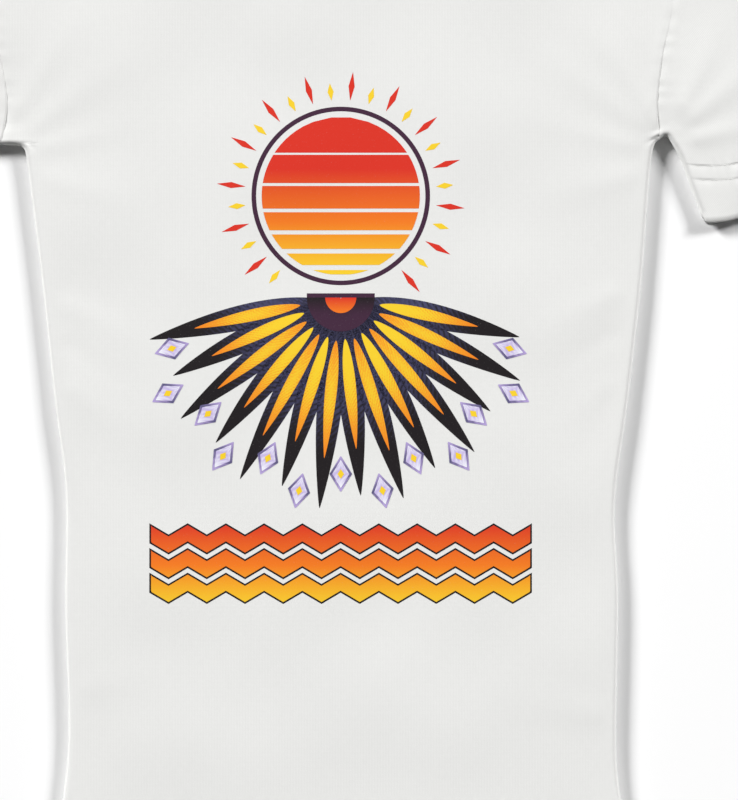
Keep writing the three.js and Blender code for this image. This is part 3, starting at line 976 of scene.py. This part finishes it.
def knitted_cotton(name, colour, wale_mm, course_mm, depth_mm):
    """Combed cotton, matt and a little downy: a fine knit in relief, a faint unevenness of the
    yarn, and a soft sheen from its fibres."""
    def nodes(tree):
        uv = add(tree, "ShaderNodeUVMap", {"uv_map": "Cloth"})
        yarn, cloudy, fibre = (
            add(tree, "ShaderNodeTexNoise", settings, {"Vector": uv}) for settings in (
                {"Scale": 260.0, "Detail": 3.0, "Roughness": 0.6},
                {"Scale": 22.0, "Detail": 2.0},
                {"Scale": 1100.0, "Detail": 4.0}))
        tone = add(tree, "ShaderNodeMath", {"operation": "MULTIPLY", 1: 0.4}, {0: cloudy})
        tone = add(tree, "ShaderNodeMath", {"operation": "MULTIPLY_ADD", 1: 0.6}, {0: yarn, 2: tone})
        low, high = ((*(min(1.0, c * k) for c in colour[:3]), 1.0) for k in (0.965, 1.03))
        shade = add(tree, "ShaderNodeMix", {"data_type": "RGBA", 6: low, 7: high}, {0: tone})
        return (
            knit(tree, uv, wale_mm, course_mm, fibre, 0.8), 0.55, depth_mm,
            {"Roughness": 0.92, "Specular IOR Level": 0.25, "Sheen Weight": 0.18, "Sheen Roughness": 0.5},
            {"Base Color": shade.outputs[2]})
    return material(name, nodes)


# Jersey has about 14 columns a centimetre. They are drawn this far apart, so that they show.
WALE, COURSE = 1.1, 0.9


def jersey():
    """The shirt's cloth: a light knit, whose columns just show."""
    colour = bpy.context.scene.shirt_colours.jersey
    return knitted_cotton("Combed cotton jersey, knitted", colour, WALE, COURSE, 0.09)


def rib():
    """The neckband's cloth: its ridges are in the mesh, and its stitches a little whiter and softer."""
    colour = bpy.context.scene.shirt_colours.rib
    return knitted_cotton("Cotton rib, one and one", colour, 0.95, 1.1, 0.06)


def slanting(tree, scale, distortion):
    """Slanting ridges, as waves through the piece's own space."""
    place = add(tree, "ShaderNodeTexCoord")
    wave = add(
        tree, "ShaderNodeTexWave",
        {"Scale": scale, "Distortion": distortion, "bands_direction": "DIAGONAL"},
        {"Vector": place.outputs["Object"]})
    return wave.outputs["Fac"]


def thread():
    """Spun polyester sewing thread: matt, with a twist that shows as slanting ridges."""
    colour = bpy.context.scene.shirt_colours.thread
    return material("Spun polyester thread", lambda tree: (
        slanting(tree, 520.0, 1.5), 0.4, 0.05,
        {"Base Color": colour, "Roughness": 0.62, "Specular IOR Level": 0.4, "Sheen Weight": 0.1}, {}))


def twill():
    """Cotton twill tape: fine slanting ridges of a flat weave, 0.9 mm apart, matt. Its colour is darker where
    the ridges are low: painted shade in the grooves between them.
    """
    def nodes(tree):
        weave = slanting(tree, 350.0, 0.6)
        # painted shade: the colour follows the ridges' relief, darker in the grooves between them
        low, high = linear(0xDBDBD8), linear(0xE6E6E3)
        tone = add(tree, "ShaderNodeMix", {"data_type": "RGBA", 6: low, 7: high}, {0: weave})
        return (
            weave, 0.6, 0.12, {"Roughness": 0.85, "Specular IOR Level": 0.3, "Sheen Weight": 0.12},
            {"Base Color": tone.outputs[2]})
    return material("Cotton twill tape", nodes)


def ink():
    """Screen-printed plastisol: a thin, slightly glossy film that the knit beneath shows through
    as a faint relief, and a little paler where it missed the hollows of the stitches."""
    def nodes(tree):
        uv = add(tree, "ShaderNodeUVMap", {"uv_map": "Cloth"})
        colour = add(tree, "ShaderNodeAttribute", {"attribute_name": "Ink"})
        grain = add(
            tree, "ShaderNodeTexNoise", {"Scale": 900.0, "Detail": 5.0, "Roughness": 0.7}, {"Vector": uv})
        missed = add(tree, "ShaderNodeMapRange", {1: 0.62, 2: 0.78, 3: 0.0, 4: 0.35}, {0: grain})
        mottle = add(
            tree, "ShaderNodeMix", {"data_type": "RGBA", 7: linear(0xDADAD8)}, {0: missed, 6: colour})
        return (
            knit(tree, uv, WALE, COURSE, grain, 0.6), 0.4, 0.05,
            {"Roughness": 0.5, "Specular IOR Level": 0.35}, {"Base Color": mottle.outputs[2]})
    return material("Plastisol ink, screen printed", nodes)


def board():
    """White board, rolled with matt paint: nearly even, with a faint orange-peel relief."""
    def nodes(tree):
        place = add(tree, "ShaderNodeTexCoord")
        peel = add(
            tree, "ShaderNodeTexNoise", {"Scale": 240.0, "Detail": 3.0},
            {"Vector": place.outputs["Object"]})
        return (
            peel, 0.08, 0.2,
            {"Base Color": linear(0xF7F7F7), "Roughness": 0.8, "Specular IOR Level": 0.2}, {})
    return material("Matt painted board", nodes)


# The add-on

def length_property(name, description, millimetres):
    """A length that a user can change."""
    return FloatProperty(
        name=name, description=description, default=millimetres * MM, min=0, unit="LENGTH")


def colour_property(name, description, hex_colour):
    """A colour that a user can change."""
    return FloatVectorProperty(
        name=name, description=description, default=linear(hex_colour), size=4, min=0, max=1,
        subtype="COLOR")


class ShirtSizes(PropertyGroup):
    """The shirt's sizes"""
    cloth: length_property("Cloth", "Thickness of one layer of jersey", 0.7)
    front_height: length_property("Lie", "Height of the front above the floor", 9.3)
    hem_depth: length_property("Hem", "Depth of the turned hem of the body", 22)
    cuff_depth: length_property("Sleeve hem", "Depth of the turned hem of a sleeve", 41)
    ink: length_property("Ink", "Thickness of one layer of ink", 0.07)
    thread: length_property("Thread", "Thickness of the sewing thread", 0.42)
    rib_pitch: length_property("Rib pitch", "Distance between the neckband's ridges", 1.9)
    rib_depth: length_property("Rib depth", "Depth of the grooves between them", 0.4)
    band_thickness: length_property("Neckband", "Thickness of the doubled neckband", 1.5)
    fold_strength: FloatProperty(
        name="Folds", description="How strongly the soft folds show", default=1.0, subtype="FACTOR")


class ShirtColours(PropertyGroup):
    """The colours of the cloths, the thread and the inks"""
    jersey: colour_property("Jersey", "Colour of the body and the sleeves", 0xE3E3E1)
    rib: colour_property("Rib", "Colour of the neckband", 0xE4E4E2)
    thread: colour_property("Thread", "Colour of the stitches", 0xE0E0DD)
    red: colour_property("Red", "Ink at the top of the disc and the bands", 0xD8301F)
    orange: colour_property("Orange", "Ink between red and yellow", 0xF07A1C)
    yellow: colour_property("Yellow", "Ink at the foot of the disc and in the leaves", 0xF4CE2B)
    black: colour_property("Black", "Ink of the leaves and the outlines", 0x1A1518)
    plum: colour_property("Plum", "Ink of the ring and the fan's root", 0x40233A)
    slate: colour_property("Slate", "Ink of the leaves' streaks", 0x4A4A6E)
    lilac: colour_property("Lilac", "Ink of the diamonds", 0xB9A6DC)
    white: colour_property("White", "Ink inside the diamonds", 0xF1F2F8)


class StageSizes(PropertyGroup):
    """How the picture is taken"""
    pixel: length_property("Scale", "Width of one pixel of the picture on the shirt", 0.71)
    lens: FloatProperty(
        name="Lens", description="Focal length of the camera", default=100.0, unit="CAMERA")


class SHIRT_OT_body(Operator):
    """Makes the front and the back of the body, with their turned hems"""
    bl_idname = "shirt.body"
    bl_label = "Body"

    def execute(self, context):
        front = make_body("body_front_cloth", NECKLINE, front_height, 150)
        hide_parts("body_front", "hem")
        back = make_body("body_back_cloth", BACK_NECKLINE, back_height, 104, down=True)
        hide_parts("body_back")
        return {"FINISHED"}


class SHIRT_OT_sleeves(Operator):
    """Makes the two sleeves, with their turned hems"""
    bl_idname = "shirt.sleeves"
    bl_label = "Sleeves"

    def execute(self, context):
        make_sleeve("sleeve_left_cloth", LEFT_LINES, ["sleeve_left", "cuff_left"])
        make_sleeve("sleeve_right_cloth", RIGHT_LINES, ["sleeve_right", "cuff_right"])
        return {"FINISHED"}


class SHIRT_OT_neck(Operator):
    """Makes the ribbed neckband and finishes the tape inside the back of the neck"""
    bl_idname = "shirt.neck"
    bl_label = "Neck"

    def execute(self, context):
        make_neckband()
        bpy.data.objects["neck_tape"].material_slots[0].material = twill()
        return {"FINISHED"}


class SHIRT_OT_stitches(Operator):
    """Sews the hems and the neck with rows of separate stitches"""
    bl_idname = "shirt.stitches"
    bl_label = "Stitches"

    def execute(self, context):
        make_stitches("hem_stitches", [(hem_row(d), *face) for d in HEM_ROWS for face in FACES])
        for name, s in (("left", LEFT_LINES), ("right", RIGHT_LINES)):
            rows = [(cuff_row(s, d), *face) for d in CUFF_ROWS for face in FACES]
            make_stitches(f"sleeve_{name}_stitches", rows)
        grown = (NECK_HALF + NECK_ROW) / NECK_HALF
        lines = [line * [grown, 1] - [0, NECK_ROW] for line in (NECKLINE, BACK_NECKLINE)]
        make_stitches("neck_stitches", [(line, *face) for line, face in zip(lines, FACES)])
        return {"FINISHED"}


class SHIRT_OT_print(Operator):
    """Prints the chest with a striped disc, a fan of leaves and zigzag bands"""
    bl_idname = "shirt.print"
    bl_label = "Print"

    def execute(self, context):
        ring, disc = drawn_disc()
        leaves, leaf_hearts = drawn_leaves()
        gems, gem_hearts, dots = drawn_gems()
        outlines, bands = drawn_bands()
        root = arc_band(FAN, 1.0, 24, 180, 360)
        root_bar = zigzag((FAN[0] - 24, FAN[0] + 24), FAN[1] + 1.5, 3.0, 0.0, 2)
        root_heart = arc_band(FAN, 0.5, 11, 180, 360)
        for name, layer, shapes in [
            ("print_dark", 1, ring + leaves + outlines),
            ("print_fan_root", 2, [
                graded(root, ["black", "plum", "plum"], FAN[1], FAN[1] - 24), even(root_bar, "plum")]),
            ("print_fan_heart", 3, [graded(root_heart, ["red", "orange"], FAN[1], FAN[1] - 11)]),
            ("print_sun", 1, disc),
            ("print_leaf_hearts", 2, leaf_hearts),
            ("print_bands", 2, bands),
            ("print_gems", 2, gems),
            ("print_gem_hearts", 3, gem_hearts),
            ("print_dots", 4, dots),
        ]:
            make_ink(name, shapes, layer)
        return {"FINISHED"}


PICTURE_MIDDLE = np.array([20.6, -184.6])  # on the plan
PICTURE_HIGH = 800  # pixels
SENSOR = 36.0
# Each light's name, place, width and watts: two large soft ones, low, from the picture's top corners
LIGHTS = [("key", (-15.8, 11.7, 9.9), 5.0, 6200), ("fill", (15.8, 11.5, 9.9), 5.0, 4850)]


class SHIRT_OT_stage(Operator):
    """Makes the floor, the soft lights and the camera that looks straight down"""
    bl_idname = "shirt.stage"
    bl_label = "Stage"

    def execute(self, context):
        scene = context.scene
        bpy.ops.mesh.primitive_plane_add(size=160)
        floor = context.active_object
        floor.name = "floor"
        floor.data.materials.append(board())
        data = bpy.data.cameras.new("Camera")
        data.lens = scene.stage_sizes.lens
        data.sensor_width = SENSOR
        camera = bpy.data.objects.new("Camera", data)
        # The height at which the picture's pixels have their width on the cloth
        away = PICTURE_HIGH * scene.stage_sizes.pixel * data.lens / SENSOR + 0.006
        camera.location = (*(PICTURE_MIDDLE + SHIFT) * MM, away)
        scene.collection.objects.link(camera)
        scene.camera = camera
        for name, place, size, power in LIGHTS:
            light = bpy.data.lights.new(name, "AREA")
            light.size = size
            light.energy = power
            lamp = bpy.data.objects.new(name, light)
            lamp.location = place
            aim = Vector((0, -0.05, 0)) - Vector(place)
            lamp.rotation_euler = aim.to_track_quat("-Z", "Y").to_euler()
            scene.collection.objects.link(lamp)
        scene.world = bpy.data.worlds.new("Studio")
        scene.world.use_nodes = True
        background = scene.world.node_tree.nodes["Background"]
        background.inputs[0].default_value = (1, 1, 1, 1)
        background.inputs[1].default_value = 0.05
        scene.view_settings.view_transform = "Standard"
        return {"FINISHED"}


class SHIRT_PT_panel(Panel):
    """Lists the sizes, the colours and what makes each piece"""
    bl_label = "T-shirt"
    bl_idname = "SHIRT_PT_panel"
    bl_space_type = "VIEW_3D"
    bl_region_type = "UI"
    bl_category = "T-shirt"

    def draw(self, context):
        for owner in GROUPS:
            group = getattr(context.scene, owner)
            for name in group.bl_rna.properties.keys():
                if name not in {"rna_type", "name"}:
                    self.layout.prop(group, name)
        for operator in OPERATORS:
            self.layout.operator(operator.bl_idname)


# Each PropertyGroup by its name on the scene
GROUPS = {"shirt_sizes": ShirtSizes, "shirt_colours": ShirtColours, "stage_sizes": StageSizes}
OPERATORS = [
    SHIRT_OT_body, SHIRT_OT_sleeves, SHIRT_OT_neck, SHIRT_OT_stitches, SHIRT_OT_print, SHIRT_OT_stage,
]
CLASSES = [*GROUPS.values(), *OPERATORS, SHIRT_PT_panel]


def register():
    """Adds the classes, and the sizes and colours to the scene."""
    for cls in CLASSES:
        bpy.utils.register_class(cls)
    for name, group in GROUPS.items():
        setattr(bpy.types.Scene, name, PointerProperty(type=group))


def unregister():
    """Takes them away again."""
    for name in GROUPS:
        delattr(bpy.types.Scene, name)
    for cls in reversed(CLASSES):
        bpy.utils.unregister_class(cls)


def main():
    """Makes every piece and the stage."""
    register()
    bpy.ops.shirt.body()
    bpy.ops.shirt.sleeves()
    bpy.ops.shirt.neck()
    bpy.ops.shirt.stitches()
    bpy.ops.shirt.print()
    bpy.ops.shirt.stage()


if __name__ == "__main__":
    main()
